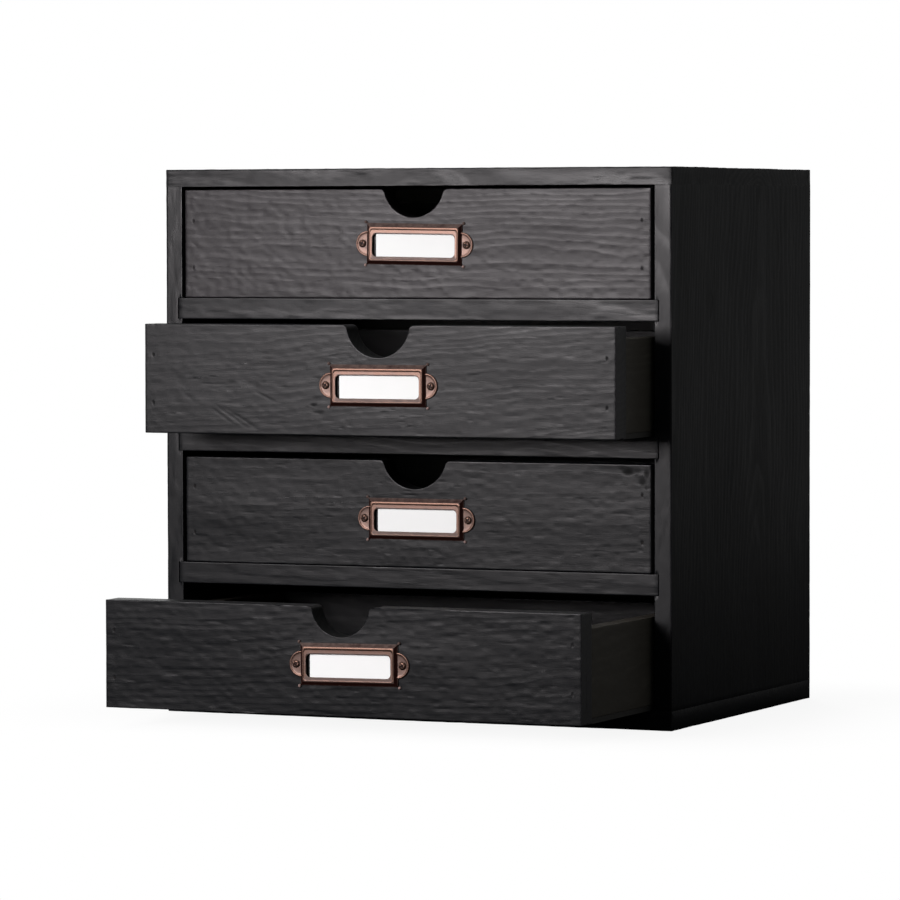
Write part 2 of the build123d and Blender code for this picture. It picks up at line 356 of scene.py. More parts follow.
def stained_material(name, stain, rubbed, gloss):
    """Stained wood. The attribute rings holds the ring number, the closeness to an edge and the darkness
    of knots and dents together with painted shade on the walls of the finger notches, or -1 on end
    grain, which is paler. The attribute fibre holds the place in millimetres, along the grain first.
    Ridges of late wood and edges are rubbed paler and smoother, and pores are fine stretched noise."""
    material, shader, start = new_material(name, Specular_IOR_Level=0.15)
    rings, fibre = [start.node("Attribute", {"attribute_name": key}, output="Vector")
                    for key in ("rings", "fibre")]
    age, edge, darkness_and_painted_shade = [start.node("SeparateXYZ", None, {0: rings}, axis) for axis in "XYZ"]
    end_grain = (0.0 - darkness_and_painted_shade).step(0.0, 1.0)
    darkness_and_painted_shade = start.maths("MAXIMUM", darkness_and_painted_shade, 0.0)
    part = start.node("Math", {"operation": "FRACT"}, {0: age})
    ridge = part.step(0.3, 0.8) * (1.0 - part.step(0.86, 1.0))
    hairs = fibre.noise((0.10, 2.4, 2.4), 3.0, 0.6)
    pores = fibre.noise((0.35, 7.5, 7.5), 2.0, 0.6)
    clouds = fibre.noise((0.02, 0.05, 0.05), 3.0, 0.55)
    worn = fibre.noise((0.07, 0.16, 0.16), 3.0, 0.6).step(0.42, 0.68)
    pale = (ridge * 0.35 + edge * 0.55) * worn + hairs.step(0.5, 0.8) * 0.25 + clouds * 0.2
    colour = pale.blend(stain, rubbed)
    # Knots and dents are darker, and the walls of the finger notches get painted shade.
    colour = (darkness_and_painted_shade * 0.8).blend(colour, (0.003, 0.003, 0.003))
    colour = end_grain.blend(colour, (0.05, 0.05, 0.052))
    rough = gloss - ridge * 0.07 - edge * worn * 0.08 + (pores - 0.5) * 0.14 + (clouds - 0.5) * 0.16
    rough = rough + darkness_and_painted_shade * 0.4
    height = hairs * 0.6 + pores * 0.4
    bump = start.node("Bump", None, {"Strength": 0.3, "Distance": 0.00012, "Height": height})
    feed(shader, {"Base Color": colour, "Roughness": rough, "Normal": bump})
    return material


black_wood = stained_material("black_stained_wood", (0.0022, 0.0028, 0.0036), (0.0075, 0.0082, 0.0094), 0.385)


def wooden(node, body, axis, along, corners, easings, steps, wear, end_ease, end_rings, wood):
    """A board of brushed wood in place of a node. The axis is the one that the grain runs along, and the
    grid's columns (along, across, through) are that axis and the two that follow it in turn. A side's
    wear is the share of the relief that it gets and how far it is set out to make up for it. The pattern
    is measured from the middle of the node. The wood's function of the place in the cabinet darkens it
    further with painted shade, as on the walls of a finger notch, or marks end grain with -1."""
    points, edge, worn = board_grid(along, corners, easings, steps, wear, end_ease, end_rings)
    places = points - np.roll(sum(box_mm(node)), -axis) / 2
    depth, age, darkness_and_painted_shade = brushed(places, wood)
    # Painted shade on the walls of a finger notch, and -1 on the ends of a front.
    if "shade" in wood:
        shade = wood["shade"](points)
        darkness_and_painted_shade = np.where(shade < 0.0, shade, np.maximum(darkness_and_painted_shade, shade))
    moved = points - outward(points) * (depth * worn[:, 0] - worn[:, 1])[..., None]
    attributes = {"fibre": places, "rings": np.stack((age, edge, darkness_and_painted_shade), axis=-1)}
    mesh = grid_mesh(node, np.roll(moved, axis, axis=2) * MM, attributes)
    show(node + "_wood", mesh, body, wood.get("stain", black_wood), "stained_wood", node)


def section_corners(along, *corners):
    """The corners (across, through) of each cross-section, where a place is one number or one a row."""
    return np.stack([np.stack([np.broadcast_to(place, along.shape) for place in corner], axis=-1)
                     for corner in corners], axis=1)


def even_easings(along, easings):
    """The same corner easings, along both edges of a corner, in every row."""
    return np.broadcast_to(np.array(easings, float)[None, :, None], (len(along), len(easings), 2)).copy()


set_out = 0.17
brushed_side, outer_side, inner_side, still_side = (1.0, set_out), (1.0, 0.0), (0.5, set_out / 2), (0.0, 0.0)
shelf_names = ("upper_shelf", "middle_shelf", "lower_shelf")
side_woods = {
    "left_side_panel": dict(seed=11, heart=(30.0, -16.0), drift=(0.06, 0.03), ring=3.4, bend=3.4,
                            relief=0.04, knots=((38.0, -4.0, -20.0, 4.0),)),
    "right_side_panel": dict(seed=23, heart=(-20.0, 22.0), drift=(-0.05, 0.05), ring=3.6, bend=3.8,
                             relief=0.03, grain=0.6, knots=((64.0, 4.0, -40.0, 3.0),)),
}
back_low, back_high = box_mm("back_panel")
rabbet_y = back_low[1]
rabbet_reach = back_high[0] + back_fit_gap
dado_reach = box_mm(shelf_names[0])[1][0] + dado_end_gap
for name, wood in side_woods.items():
    low, high = box_mm(name)
    inner, outer = sorted((low[0], high[0]), key=abs)
    hand = np.sign(outer)
    dado_floor = hand * dado_reach
    rabbet_floor = hand * rabbet_reach
    levels = [low[2] + seam_ease]
    faces = [inner]
    for shelf in reversed(shelf_names):
        shelf_low, shelf_high = box_mm(shelf)
        stretch = spread(levels[-1], shelf_low[2], grain_step)[1:]
        levels += list(stretch) + [shelf_low[2] + 2 * sliver, shelf_high[2] - 2 * sliver, shelf_high[2]]
        faces += [inner] * len(stretch) + [dado_floor, dado_floor, inner]
    stretch = spread(levels[-1], high[2] - seam_ease, grain_step)[1:]
    along = np.array(levels + list(stretch))
    face = np.array(faces + [inner] * len(stretch)) - hand * sliver
    corners = section_corners(
        along, (outer, low[1]), (outer, high[1]), (rabbet_floor, high[1]), (rabbet_floor, rabbet_y),
        (face, rabbet_y), (face, low[1]), (dado_floor, low[1]))
    depth = high[1] - low[1]
    steps = (int(depth / cross_step), 5, 2, 2, int(depth / hidden_step), 5, 12)
    easings = even_easings(along, (board_ease, board_ease, board_ease, 0.0, 0.0, board_ease, 0.0))
    # In a dado the inner front corner meets the dado's floor, so that its rounding all but vanishes.
    easings[abs(face - inner) > 2 * sliver, 5] = sliver / 2
    wooden(name, "cabinet", 2, along, corners, easings, steps,
           (outer_side, outer_side, still_side, still_side, inner_side, brushed_side, brushed_side),
           seam_ease, 1, wood)


def plain_board(node, body, axis, wood, fine):
    """A board of one rectangular section. Its grain runs along an axis, and the spacing is given for each
    of the four sides of its section, starting with the one at the low end of the last axis."""
    low, high = (np.roll(corner, -axis) for corner in box_mm(node))
    along = spread(low[0] + board_ease, high[0] - board_ease, grain_step)
    corners = section_corners(along, (low[1], low[2]), (high[1], low[2]), (high[1], high[2]),
                              (low[1], high[2]))
    lengths = (high[1] - low[1], high[2] - low[2]) * 2
    steps = [max(int(length / step), 3) for length, step in zip(lengths, fine)]
    wooden(node, body, axis, along, corners, even_easings(along, (board_ease,) * 4), steps,
           (brushed_side,) * 4, board_ease, 1, wood)


# Top and bottom panels
# Full-width boards of the same wood, nailed into the ends of the sides, with the grain from left to right.
# A stopped rabbet along the rear of each holds the back.
end_inset = 0.2
top_drop = 0.3
end_woods = {
    "top_panel": dict(seed=37, heart=(10.0, -26.0), drift=(0.05, 0.03), ring=3.4, bend=3.6, relief=0.06,
                      grain=2.3, knots=((-60.0, 30.0, 4.0, 4.0),)),
    "bottom_panel": dict(seed=41, heart=(-24.0, 28.0), drift=(-0.06, 0.02), ring=3.5, bend=3.6, relief=0.035),
}
for name, wood in end_woods.items():
    low, high = box_mm(name)
    up = name == "bottom_panel"
    inner = high[2] if up else low[2] - top_drop
    floor = back_low[2] - back_fit_gap if up else back_high[2] + back_fit_gap
    tip = high[0] - end_inset - seam_ease
    between = rabbet_reach - 2 * sliver
    along = np.concatenate((spread(-tip, -rabbet_reach, grain_step), spread(-between, between, grain_step),
                            spread(rabbet_reach, tip, grain_step)))
    level = np.where(abs(along) < rabbet_reach, floor, inner - (sliver if up else -sliver))
    outer = low[2] if up else high[2]
    corners = section_corners(along, (low[1], outer), (high[1], outer), (high[1], level), (rabbet_y, level),
                              (rabbet_y, inner), (low[1], inner))
    depth = high[1] - low[1]
    steps = (int(depth / cross_step), 5, 2, 2, int(depth / hidden_step), 18)
    easings = even_easings(along, (board_ease, board_ease, board_ease, 0.0, 0.0, seam_ease))
    wooden(name, "cabinet", 0, along, corners, easings, steps,
           (outer_side, outer_side, still_side, still_side, still_side, brushed_side), seam_ease, 1, wood)

# Shelves
# Three boards between the sides, with their ends standing in the dados. The drawers slide on them.
shelf_woods = (
    dict(seed=53, heart=(20.0, -46.0), drift=(0.02, 0.01), ring=3.0, bend=2.2, relief=0.05, grain=1.9),
    dict(seed=59, heart=(-16.0, -52.0), drift=(0.03, -0.01), ring=3.2, bend=2.2, relief=0.04, grain=1.3),
    dict(seed=61, heart=(8.0, 46.0), drift=(-0.03, 0.01), ring=3.1, bend=2.2, relief=0.04, grain=1.3),
)
for name, wood in zip(shelf_names, shelf_woods):
    plain_board(name, "cabinet", 0, wood, (1.6, 3.0, 1.6, 0.42))

# Back panel
# A thin sheet of three-ply in the rabbets of the four outer boards, held by small brads. It is stained
# with the rest, and its rougher face looks flatter.


def refinish(names, material):
    """Gives the frame's own nodes, which keep their meshes, a material."""
    for name in names:
        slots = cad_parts[name].data.materials
        slots.clear()
        slots.append(material)


black_ply, ply_shader, start = new_material("black_stained_ply", Specular_IOR_Level=0.5)
place = start.node("TexCoord", output="Object")
strands = place.noise((60.0, 900.0, 2200.0), 3.0, 0.6)
patches = place.noise((14.0, 20.0, 30.0), 3.0, 0.5)
tone = (strands * 0.6 + patches * 0.5).blend((0.01, 0.01, 0.009), (0.034, 0.033, 0.029))
flat_bump = start.node("Bump", None, {"Strength": 0.4, "Distance": 0.0001, "Height": strands})
feed(ply_shader, {"Base Color": tone, "Roughness": 0.5 + patches * 0.2, "Normal": flat_bump})
refinish(["back_panel"], black_ply)

# Brads
# Headless nails of square wire, driven just under the surface and darkened by the stain.
dark_steel, steel_shader, start = new_material("stained_steel", Metallic=0.9)
specks = start.node("TexCoord", output="Object").noise((900.0, 900.0, 900.0), 3.0, 0.6)
feed(steel_shader, {"Base Color": specks.blend((0.003, 0.003, 0.003), (0.02, 0.018, 0.017)),
                    "Roughness": 0.5 + specks * 0.3})
refinish([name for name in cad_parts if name.endswith("brads")], dark_steel)

# Drawer fronts
# Thick boards with the grain from left to right and a round finger notch cut through the upper edge. Each
# is nailed on the ends of its drawer's sides, with the brad heads sunk into small dents.
drawers = ("top_drawer", "second_drawer", "third_drawer", "bottom_drawer")
front_ease = 0.3
rear_ease = 0.35
end_reach = 0.3
crowns = (0.75, 0.2, 0.2, 0.2)
front_grain_step = 1.05
front_cross_step = 0.45
rear_cross_step = 1.2
front_end_rings = 8
lip_points = 9
notch_points = 25
notch_radii = (15.5, 16.0, 16.5, 14.5)
notch_depths = (12.5, 14.8, 13.2, 13.8)
notch_offsets = (0.0, 1.0, 0.2, 0.7)
lip_radius = 2.5
brad_shares = (0.28, 0.72)
side_thickness = 8.0
mark_place = -6.2
brad_dent = (0.5, 0.85, 0.16, 0.8)
brad_reach = 1.4
brad_step = 0.35
# How far past the notch's edge the painted shade on its walls reaches.
notch_shade_reach = 0.6
end_skin = 0.1
# The top front is paler and pinker: partly a tone of its own, partly painted light for the brighter top
# drawer.
top_front_wood_with_painted_light = stained_material("paler_stained_wood_with_painted_light", (0.014, 0.0126, 0.0142), (0.032, 0.0285, 0.031), 0.385)
front_woods = (
    dict(seed=71, heart=(-10.0, 62.0), drift=(0.02, -0.02), ring=3.7, bend=2.6, relief=0.035, chatter=0.02,
         grain=1.65, stain=top_front_wood_with_painted_light),
    dict(seed=83, heart=(-14.0, 44.0), drift=(0.04, 0.09), ring=3.5, bend=3.2, relief=0.024, grain=0.85,
         marks=((-101.2, 0.4, 1.6, 0.9, 0.04, 0.35), (-74.5, -1.4, 2.0, 0.9, 0.05, 0.4),
                (-61.0, -2.6, 1.2, 1.1, 0.04, 0.4), (-57.5, -1.0, 1.4, 0.8, 0.04, 0.45),
                (-76.0, 6.2, 1.2, 0.9, 0.03, 0.25), (-57.0, 3.0, 2.4, 0.5, 0.03, 0.25),
                (-31.8, -11.5, 1.3, 0.6, 0.2, 0.95), (-28.4, -15.0, 1.2, 0.9, 0.1, 0.5)),
         scratches=((-82.5, -12.0, -66.0, -22.5, 0.55, 0.1), (-79.0, -12.6, -61.0, -22.9, 0.5, 0.08),
                    (-85.0, -13.4, -72.0, -21.5, 0.5, 0.06), (-62.0, -5.5, -50.0, -11.0, 0.55, 0.08),
                    (-102.0, -4.0, -93.0, -11.5, 0.5, 0.05))),
    dict(seed=97, heart=(-20.0, -58.0), drift=(0.03, 0.03), ring=3.6, bend=2.8, relief=0.022, swell=0.2,
         marks=((108.3, 21.8, 2.8, 1.7, 0.2, 1.0), (105.0, 23.4, 1.8, 0.9, 0.08, 0.8),
                (112.8, 22.4, 2.0, 1.0, 0.06, 0.6), (117.6, 20.8, 1.2, 2.2, 0.1, 0.8),
                (115.4, 17.4, 1.7, 2.2, 0.08, 0.7), (117.4, 14.6, 0.9, 1.5, 0.05, 0.45),
                (102.9, -16.3, 0.9, 0.7, 0.08, 0.5), (-43.0, 3.2, 1.8, 0.35, 0.06, 0.6))),
    dict(seed=101, heart=(-22.0, 66.0), drift=(-0.02, 0.03), ring=3.6, bend=2.6, relief=0.03, swell=0.25,
         grain=1.25, marks=((-84.0, -8.0, 2.0, 0.8, 0.05, 0.35),)),
)


def notched_edge(half, centre, top, radius, deep, lip, step):
    """The upper outline of a front from its left end to its right, as places x, heights z and the cosine
    of the slope. It is straight, turns down over a lip arc, follows the arc of the notch, whose centre
    lies above the edge by the radius less the depth, and comes back up the same way."""
    rise = top - deep + radius - (top - lip)
    reach = math.sqrt((radius + lip) ** 2 - rise ** 2)
    tilt = math.atan2(rise, reach)
    lips = np.linspace(math.pi / 2, tilt, lip_points)
    arc = np.linspace(math.pi + tilt, 1.5 * math.pi, notch_points + 1)[1:]
    x = np.concatenate((-reach + lip * np.cos(lips), radius * np.cos(arc)))
    z = np.concatenate((top - lip + lip * np.sin(lips), top - deep + radius + radius * np.sin(arc)))
    slope = np.concatenate((np.sin(lips), -np.sin(arc)))
    straight = spread(-half - centre, -reach, step)[:-1]
    right = spread(reach, half - centre, step)[1:]
    x = np.concatenate((straight, x, -x[-2::-1], right)) + centre
    z = np.concatenate((np.full(len(straight), top), z, z[-2::-1], np.full(len(right), top)))
    slope = np.concatenate((np.ones(len(straight)), slope, slope[-2::-1], np.ones(len(right))))
    return x, z, slope


def with_extra(x, others, spots, reach, step):
    """Adds finely spaced places round each spot to a rising row of places, and fills in the others."""
    extra = [np.arange(spot - reach, spot + reach, step) for spot in spots]
    dense = np.unique(np.concatenate([x] + [e[(e > x[0]) & (e < x[-1])] for e in extra]))
    return [dense] + [np.interp(dense, x, other) for other in others]


for i, (drawer, wood) in enumerate(zip(drawers, front_woods)):
    low, high = box_mm(drawer + "_front")
    brad_x = high[0] - side_thickness / 2
    x, top, slope = notched_edge(high[0] + end_reach - front_ease, notch_offsets[i], high[2] + crowns[i],
                                 notch_radii[i], notch_depths[i] + crowns[i], lip_radius, front_grain_step)
    x, top, slope = with_extra(x, (top, slope), (-brad_x, brad_x), brad_reach, brad_step)
    corners = section_corners(x, (low[1], low[2]), (high[1], low[2]), (high[1], top), (low[1], top))
    easings = even_easings(x, (front_ease, rear_ease, rear_ease, front_ease))
    easings[:, 2, 0] /= slope
    easings[:, 3, 1] /= slope
    height = high[2] - low[2]
    steps = (10, int(height / rear_cross_step), 14, int(height / front_cross_step))
    middle = (low + high) / 2
    cut = (notch_offsets[i], high[2] - notch_depths[i] + notch_radii[i], notch_radii[i] + notch_shade_reach)
    end = high[0] + end_reach - end_skin

    # The walls of the finger notch get painted shade, where shade falls in it.
    def shade(places):
        """Painted shade of 0.9 on the notch's walls, fading out 1.6 to 0.5 mm behind the face, and -1 on the
        two ends.
        """
        painted_wall_shade = np.hypot(places[..., 0] - cut[0], places[..., 2] - cut[1]) < cut[2]
        painted_wall_shade = 0.9 * painted_wall_shade * smooth_step(0.5, 1.6, places[..., 1] - low[1])
        return np.where(abs(places[..., 0]) > end, -1.0, painted_wall_shade)

    # The marks are dents on the face, and each brad head lies in a dent of its own.
    wood["shade"] = shade
    wood["dents"] = [(mark[0], mark_place) + mark[1:] for mark in wood.get("marks", ())]
    wood["dents"] += [(side * brad_x, low[1] - middle[1], high[2] - share * height - middle[2]) + brad_dent
                      for side in (-1, 1) for share in brad_shares]
    wooden(drawer + "_front", drawer, 0, x, corners, easings, steps,
           (brushed_side, inner_side, brushed_side, brushed_side), front_ease, front_end_rings, wood)

# Drawer sides and backs
# Thinner boards, lower than the fronts. The sides run from the front to the rear and took little stain.
# The back between them is given the black stain instead, painted shade for the shade inside the cabinet.
thin_wood = stained_material("thinly_stained_wood", (0.056, 0.052, 0.044), (0.091, 0.085, 0.071), 0.45)
for i, drawer in enumerate(drawers):
    for k, name in enumerate(("_left_side", "_right_side")):
        wood = dict(seed=120 + 10 * i + k, heart=(12.0 * (-1) ** i, 34.0 - 60.0 * k), drift=(0.03, 0.02),
                    ring=2.5, bend=2.4, relief=0.05, stain=thin_wood)
        plain_board(drawer + name, drawer, 1, wood, (0.7, 1.4, 0.7, 0.8))
    # The back takes the black stain: painted shade.
    wood = dict(seed=160 + i, heart=(40.0, 10.0), drift=(0.02, 0.03), ring=2.4, bend=2.4, relief=0.05)
    plain_board(drawer + "_back", drawer, 0, wood, (1.0, 0.8, 1.0, 0.8))

# Drawer bottoms
# Thin three-ply sheets nailed up under the sides and the back.
refinish([drawer + "_bottom" for drawer in drawers], black_ply)

# Label holders
# Pressed from copper-plated sheet and blackened, then rubbed bright on the high places. A window with a
# rolled bead round the face, walls that slope down to a foot with four points, and two round ears.
# Painted light brightens the upper wall and foot, painted shade darkens the lower side and the band above
# the window, and the two lower points of the foot carry painted highlights.
window_half = (21.2, 5.35)
window_corner = 2.2
face_half = (22.9, 7.95)
base_half = (24.4, 9.7)
holder_raise = 1.8
sheet_gauge = 0.7
foot_gauge = 0.5
window_drop = 0.65
bead_width = 0.95
bead_height = 0.14
point_reach = (1.1, 0.9)
tip_radius = 0.75
tip_height = 0.95
tip_place = (25.1, 10.1)
ear_radius = 5.95
ear_reach = 5.6
ear_rim = 0.9
ear_rim_height = 0.42
ear_dish = 0.35
# The share of its brightness that the lower side keeps: painted shade.
painted_shade_below = 0.68
holder_leans = (-0.9, 0.0, 0.0, 0.7)
holder_drops = (0.0, 0.0, 0.0, 0.5)
ring_straight = (44, 14)
ring_corner = 8
ear_turns = 41
tip_turns = 24


def part_way(inner, outer, share):
    """The half sizes, across and up, at a share of the way from an inner outline to an outer one."""
    return [low + (high - low) * share for low, high in zip(inner, outer)]


def rounded_ring(half, radius, centre_z=0.0, poke=0.0):
    """The points of a rectangle with rounded corners, anticlockwise from the right end of its lower side:
    quarter circles of the radius at the corners, and evenly spaced points on the straight sides. The
    poke pushes the corners out, most at the middle of each quarter circle."""
    turn = np.linspace(0.0, math.pi / 2, ring_corner + 1)
    push = poke * np.sin(2.0 * turn) ** 3
    arcs = []
    for quarter, (sign_x, sign_z) in enumerate(((1, -1), (1, 1), (-1, 1), (-1, -1))):
        angle = turn + (quarter - 1) * math.pi / 2
        x = sign_x * (half[0] - radius) + radius * np.cos(angle) + sign_x * push * point_reach[0]
        z = sign_z * (half[1] - radius) + radius * np.sin(angle) + sign_z * push * point_reach[1]
        arcs.append(np.stack((x, z), axis=-1))
    points = []
    for quarter, arc in enumerate(arcs):
        count = ring_straight[(quarter + 1) % 2]
        share = (np.arange(1, count) / count)[:, None]
        points += [arc, arc[-1] * (1.0 - share) + arcs[(quarter + 1) % 4][0] * share]
    return np.concatenate(points) + (0.0, centre_z)


def holder_grid():
    """The pressed sheet as a stack of rings, from the window over the bead and down the wall to the foot,
    and back under it to the window, and how bare the copper is at each point, with painted light and
    shade on the upper and lower sides."""
    rings = []
    heights = []
    bare_and_painted_light = []

    def add(ring, height, bright, upper=None):
        """Adds a ring, with another brightness painted on its upper side if that is given, and painted shade
        below.
        """
        rings.append(ring)
        heights.append(height)
        rise = ring[:, 1] / ring[:, 1].max()
        sideways = abs(ring[:, 0]) / ring[:, 0].max()
        share = np.where(rise > sideways - 0.02, bright if upper is None else upper, bright)
        bare_and_painted_light.append(np.where(-rise > sideways, share * painted_shade_below, share))

    def between(share, radius):
        """A ring between the window's edge and the face's outline, at a share of the way out."""
        return rounded_ring(part_way(window_half, face_half, share), radius, -window_drop * (1.0 - share))

    rim = holder_raise - sheet_gauge
    add(between(0.0, window_corner), rim, 0.1)
    add(between(0.0, window_corner), holder_raise - 0.25, 0.3)
    add(between(0.02, window_corner), holder_raise - 0.1, 0.6)
    # The upper side of the face beside the window gets painted shade.
    add(between(0.06, window_corner), holder_raise - 0.04, 0.8, 0.55)
    add(between(0.15, window_corner * 0.9), holder_raise - 0.05, 0.8, 0.65)
    bead_share = 1.0 - bead_width / (face_half[1] - window_half[1])
    for share in np.linspace(0.25, bead_share, 5):
        add(between(share, 2.0 - share), holder_raise - 0.06, 0.82)
    for angle in np.radians((20.0, 45.0, 70.0, 90.0, 110.0, 135.0, 160.0)):
        out = bead_share + (1.0 - bead_share) * (1.0 - math.cos(angle)) / 2
        swell = math.sin(angle)
        add(between(out, 1.3), holder_raise - 0.06 + bead_height * swell, 0.75 + 0.35 * swell)
    # The upper wall and foot get painted light.
    for share in np.linspace(0.08, 0.92, 6):
        add(rounded_ring(part_way(face_half, base_half, 0.85 * share), 1.0 - 0.4 * share, poke=0.5 * share),
            holder_raise + (foot_gauge - holder_raise) * share, -0.1, 0.24)
    add(rounded_ring(part_way(face_half, base_half, 0.9), 0.6, poke=0.9), foot_gauge + 0.02, 0.15, 0.26)
    add(rounded_ring([half - 0.1 for half in base_half], 0.5, poke=1.0), foot_gauge, 0.25, 0.26)
    add(rounded_ring(base_half, 0.5, poke=1.0), foot_gauge - 0.15, 0.2)
    add(rounded_ring(base_half, 0.5, poke=1.0), 0.0, 0.2)
    add(rounded_ring([half - sheet_gauge for half in base_half], 0.4), 0.0, 0.1)
    add(rounded_ring([half - 0.3 for half in face_half], 0.6), rim, 0.1)
    add(between(0.1, window_corner), rim, 0.1)
    rings = np.stack(rings)
    heights = np.broadcast_to(np.array(heights)[:, None], rings.shape[:2])
    return np.stack((rings[..., 0], -heights, rings[..., 1]), axis=-1), np.stack(bare_and_painted_light)


def ear_grid(side):
    """One ear as a closed profile (distance from the ear's centre, height) carried round half a circle.
    The profile is a shallow dish with a raised round rim."""
    rim = ear_radius - ear_rim
    swell = np.radians(np.linspace(0.0, 180.0, 9))
    crown_x = ear_radius - ear_rim / 2 + ear_rim / 2 * np.cos(swell)
    crown_h = ear_rim_height + 0.05 + 0.24 * np.sin(swell)
    radius = np.concatenate(([0.05, ear_radius, ear_radius], crown_x, [rim - 0.25, rim - 0.8, 2.4, 0.05]))
    height = np.concatenate(([0.0, 0.0, ear_rim_height - 0.1], crown_h,
                             [ear_dish + 0.06, ear_dish, ear_dish, ear_dish]))
    bright = np.concatenate(([0.1, 0.2, 0.4], 0.8 + 0.4 * np.sin(swell), [0.75, 0.7, 0.7, 0.6]))
    angle = np.linspace(-0.5 * math.pi, 0.5 * math.pi, ear_turns)[:, None]
    x = base_half[0] + ear_reach - ear_radius + radius * np.cos(angle)
    height = np.broadcast_to(height, x.shape)
    return np.stack((side * x, -height, radius * np.sin(angle)), axis=-1), np.broadcast_to(bright, x.shape)


def tip_grid(corner):
    """The rounded point of the foot at one corner, a low dome in rings from its top to the wood.
    The two lower points carry a painted highlight.
    """
    angle = np.linspace(0.0, 2.0 * math.pi, tip_turns, endpoint=False)
    fall = np.radians(np.linspace(3.0, 90.0, 8))[:, None]
    x = corner[0] * tip_place[0] + tip_radius * np.sin(fall) * np.cos(angle)
    z = corner[1] * tip_place[1] + tip_radius * np.sin(fall) * np.sin(angle)
    height = np.broadcast_to(tip_height * np.cos(fall), x.shape)
    # The lower points get a painted highlight, and the upper ones stay dull.
    return np.stack((x, -height, z), axis=-1), np.full(x.shape, 1.8 if corner[1] < 0 else 0.3)


def copper_material(name):
    """Antique copper, dull with age: pinkish where the copper is bare, grey-brown where it is half bare, and
    brown-black in the hollows, with blotches and fine specks of noise. The attribute also carries painted
    light on upper sides, painted shade on lower ones and painted highlights on the lower points of the foot."""
    material, shader, start = new_material(name, Specular_IOR_Level=0.1)
    bare_and_painted_light = start.node("Attribute", {"attribute_name": "bare_and_painted_light"}, output="Fac")
    place = start.node("TexCoord", output="Object")
    blotches = place.noise((420.0, 420.0, 420.0), 3.0, 0.6)
    specks = place.noise((1900.0, 1900.0, 1900.0), 2.0, 0.6)
    # Bareness of the copper, with the painted light and shade that it carries.
    clean_and_painted_light = bare_and_painted_light + (blotches - 0.5) * 0.5 + (specks - 0.5) * 0.15
    # The palest colour is polish on the rims and the painted highlight on the lower points of the foot.
    polish_and_painted_highlight = clean_and_painted_light.step(1.1, 1.6)
    colour = clean_and_painted_light.step(0.0, 0.45).blend((0.014, 0.004, 0.003), (0.122, 0.087, 0.076))
    colour = clean_and_painted_light.step(0.5, 1.0).blend(colour, (0.105, 0.062, 0.047))
    colour = polish_and_painted_highlight.blend(colour, (0.3, 0.21, 0.19))
    metal = clean_and_painted_light.step(0.45, 0.9) * (1.0 - polish_and_painted_highlight * 0.8)
    rough = 0.4 + (specks - 0.5) * 0.1
    relief = blotches + specks * 0.5
    bump = start.node("Bump", None, {"Strength": 0.25, "Distance": 0.00008, "Height": relief})
    feed(shader, {"Base Color": colour, "Roughness": rough, "Metallic": metal, "Normal": bump})
    return material


def on_front(points, i):
    """Millimetres round a holder's middle, turned and lowered as that holder was screwed on, in metres."""
    low, high = box_mm(drawers[i] + "_label_holder")
    lean = math.radians(holder_leans[i])
    x = points[..., 0] * math.cos(lean) - points[..., 2] * math.sin(lean)
    z = points[..., 0] * math.sin(lean) + points[..., 2] * math.cos(lean) - holder_drops[i]
    middle = np.array([(low[0] + high[0]) / 2, high[1], (low[2] + high[2]) / 2])
    return (np.stack((x, points[..., 1], z), axis=-1) + middle) * MM


def copper_mesh(name, i, grids):
    """One mesh on a drawer's front from grids of points in millimetres round its holder's middle, each
    with how bare the copper is, together with any painted light and shade, and whether the grid is a band."""
    whole = bmesh.new()
    for points, bright, band in grids:
        part = grid_mesh("part", on_front(points, i), {"bare_and_painted_light": bright}, band)
        whole.from_mesh(part)
        bpy.data.meshes.remove(part)
    mesh = bpy.data.meshes.new(name)
    whole.to_mesh(mesh)
    whole.free()
    mesh.shade_smooth()
    return mesh


antique_copper = copper_material("antique_copper")
pressing = [(*holder_grid(), True)]
pressing += [(*ear_grid(side), False) for side in (-1, 1)]
pressing += [(*tip_grid(corner), False) for corner in ((-1, -1), (1, -1), (1, 1), (-1, 1))]
for i, drawer in enumerate(drawers):
    show(drawer + "_holder_pressing", copper_mesh(drawer + "_holder", i, pressing), drawer,
         antique_copper, "copper_sheet", drawer + "_label_holder")

# Holder screws
# Small round-head screws with a cross recess, plated like the holder, one through each ear.
screw_out = 26.7
head_radius = 1.9
head_height = 0.9
shank_radius = 0.95
shank_length = 9.0
recess_arm = 1.15
recess_half_width = 0.24
recess_depth = 0.55
screw_turns = 80
head_rings = 15


